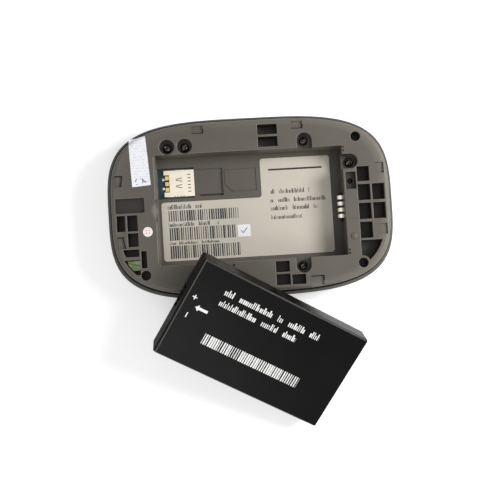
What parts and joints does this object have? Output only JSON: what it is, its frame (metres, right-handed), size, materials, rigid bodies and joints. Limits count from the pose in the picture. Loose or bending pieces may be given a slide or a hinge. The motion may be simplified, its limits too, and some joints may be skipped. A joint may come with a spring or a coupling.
{
  "type": "mobile hotspot",
  "caption": "Pocket mobile hotspot lying face down with its rear cover off: moulded frame with battery bay, card reader and sprung contacts, and its battery pack leaning on one long edge.",
  "frame": {"origin": "middle of the flat front face, on the surface that the object lies on", "axes": "+Z from the front face to the rear side, +X along the long side, the battery pack leans on the -Y edge"},
  "size_m": [0.1074, 0.1187, 0.0329],
  "materials": {
    "frame_plastic": "fine moulded grain, warm grey",
    "housing_plastic": "satin moulded, dark grey",
    "lens": "polished black",
    "tape": "black foam tape",
    "display": "glass panel",
    "flat_cable": "polyimide film",
    "board": "solder mask",
    "shield_metal": "tinned sheet",
    "chip": "moulded package",
    "screw_steel": "black oxide",
    "reader_steel": "bright sheet",
    "black_plastic": "moulded black",
    "gold": "gold plated",
    "antenna_foil": "copper foil",
    "tuner_board": "pale green board",
    "clear_plastic": "clear moulded",
    "label": "satin coated",
    "white_paper": "coated white",
    "dot_paper": "pinkish white",
    "battery_wrap": "satin black film",
    "cell_can": "plain",
    "nickel": "plain strip"
  },
  "bodies": {
    "device": {"front_housing": "housing_plastic", "display_lens": "lens", "lens_tape": "tape", "display_panel": "display", "display_ribbon": "flat_cable", "main_board": "board", "modem_shield": "shield_metal", "wifi_shield": "shield_metal", "modem_chip": "chip", "wifi_chip": "chip", "rear_frame": "frame_plastic", "frame_screws": "screw_steel", "sim_shell": "reader_steel", "sim_base": "black_plastic", "sim_terminals": "gold", "contact_block": "black_plastic", "usb_shell": "shield_metal", "usb_tongue": "black_plastic", "antenna_jack_west": "gold", "antenna_jack_east": "gold", "antenna_west": "antenna_foil", "antenna_east": "antenna_foil", "wifi_antenna": "antenna_foil", "tuner_board": "tuner_board", "power_switch": "shield_metal", "reset_switch": "shield_metal", "status_led": "clear_plastic", "light_pipe": "clear_plastic", "info_label": "label", "check_sticker": "white_paper", "serial_sticker": "white_paper", "moisture_dot": "dot_paper"},
    "power_key": {"power_button": "black_plastic"},
    "reset_key": {"reset_button": "black_plastic"},
    "spring_1": {"contact_1": "gold"},
    "spring_2": {"contact_2": "gold"},
    "spring_3": {"contact_3": "gold"},
    "spring_4": {"contact_4": "gold"},
    "battery": {"battery_sleeve": "battery_wrap", "battery_cell": "cell_can", "battery_end_cap": "black_plastic", "battery_board": "board", "battery_pads": "gold", "cell_tabs": "nickel"}
  },
  "joints": [
    {"name": "power_press", "type": "slide", "parent": "device", "child": "power_key", "axis": [0, -1, 0], "range_m": [0, 0.0004], "stiffness_N_per_m": 500},
    {"name": "reset_press", "type": "slide", "parent": "device", "child": "reset_key", "axis": [0, 0, -1], "range_m": [0, 0.0004], "stiffness_N_per_m": 400},
    {"name": "contact_1_press", "type": "slide", "parent": "device", "child": "spring_1", "axis": [1, 0, 0], "range_m": [0, 0.0008], "stiffness_N_per_m": 600},
    {"name": "contact_2_press", "type": "slide", "parent": "device", "child": "spring_2", "axis": [1, 0, 0], "range_m": [0, 0.0008], "stiffness_N_per_m": 600},
    {"name": "contact_3_press", "type": "slide", "parent": "device", "child": "spring_3", "axis": [1, 0, 0], "range_m": [0, 0.0008], "stiffness_N_per_m": 600},
    {"name": "contact_4_press", "type": "slide", "parent": "device", "child": "spring_4", "axis": [1, 0, 0], "range_m": [0, 0.0008], "stiffness_N_per_m": 600},
    {"name": "battery_lift", "type": "slide", "parent": "device", "child": "battery", "axis": [0, 0, 1], "range_m": [0, 0.06]}
  ]
}
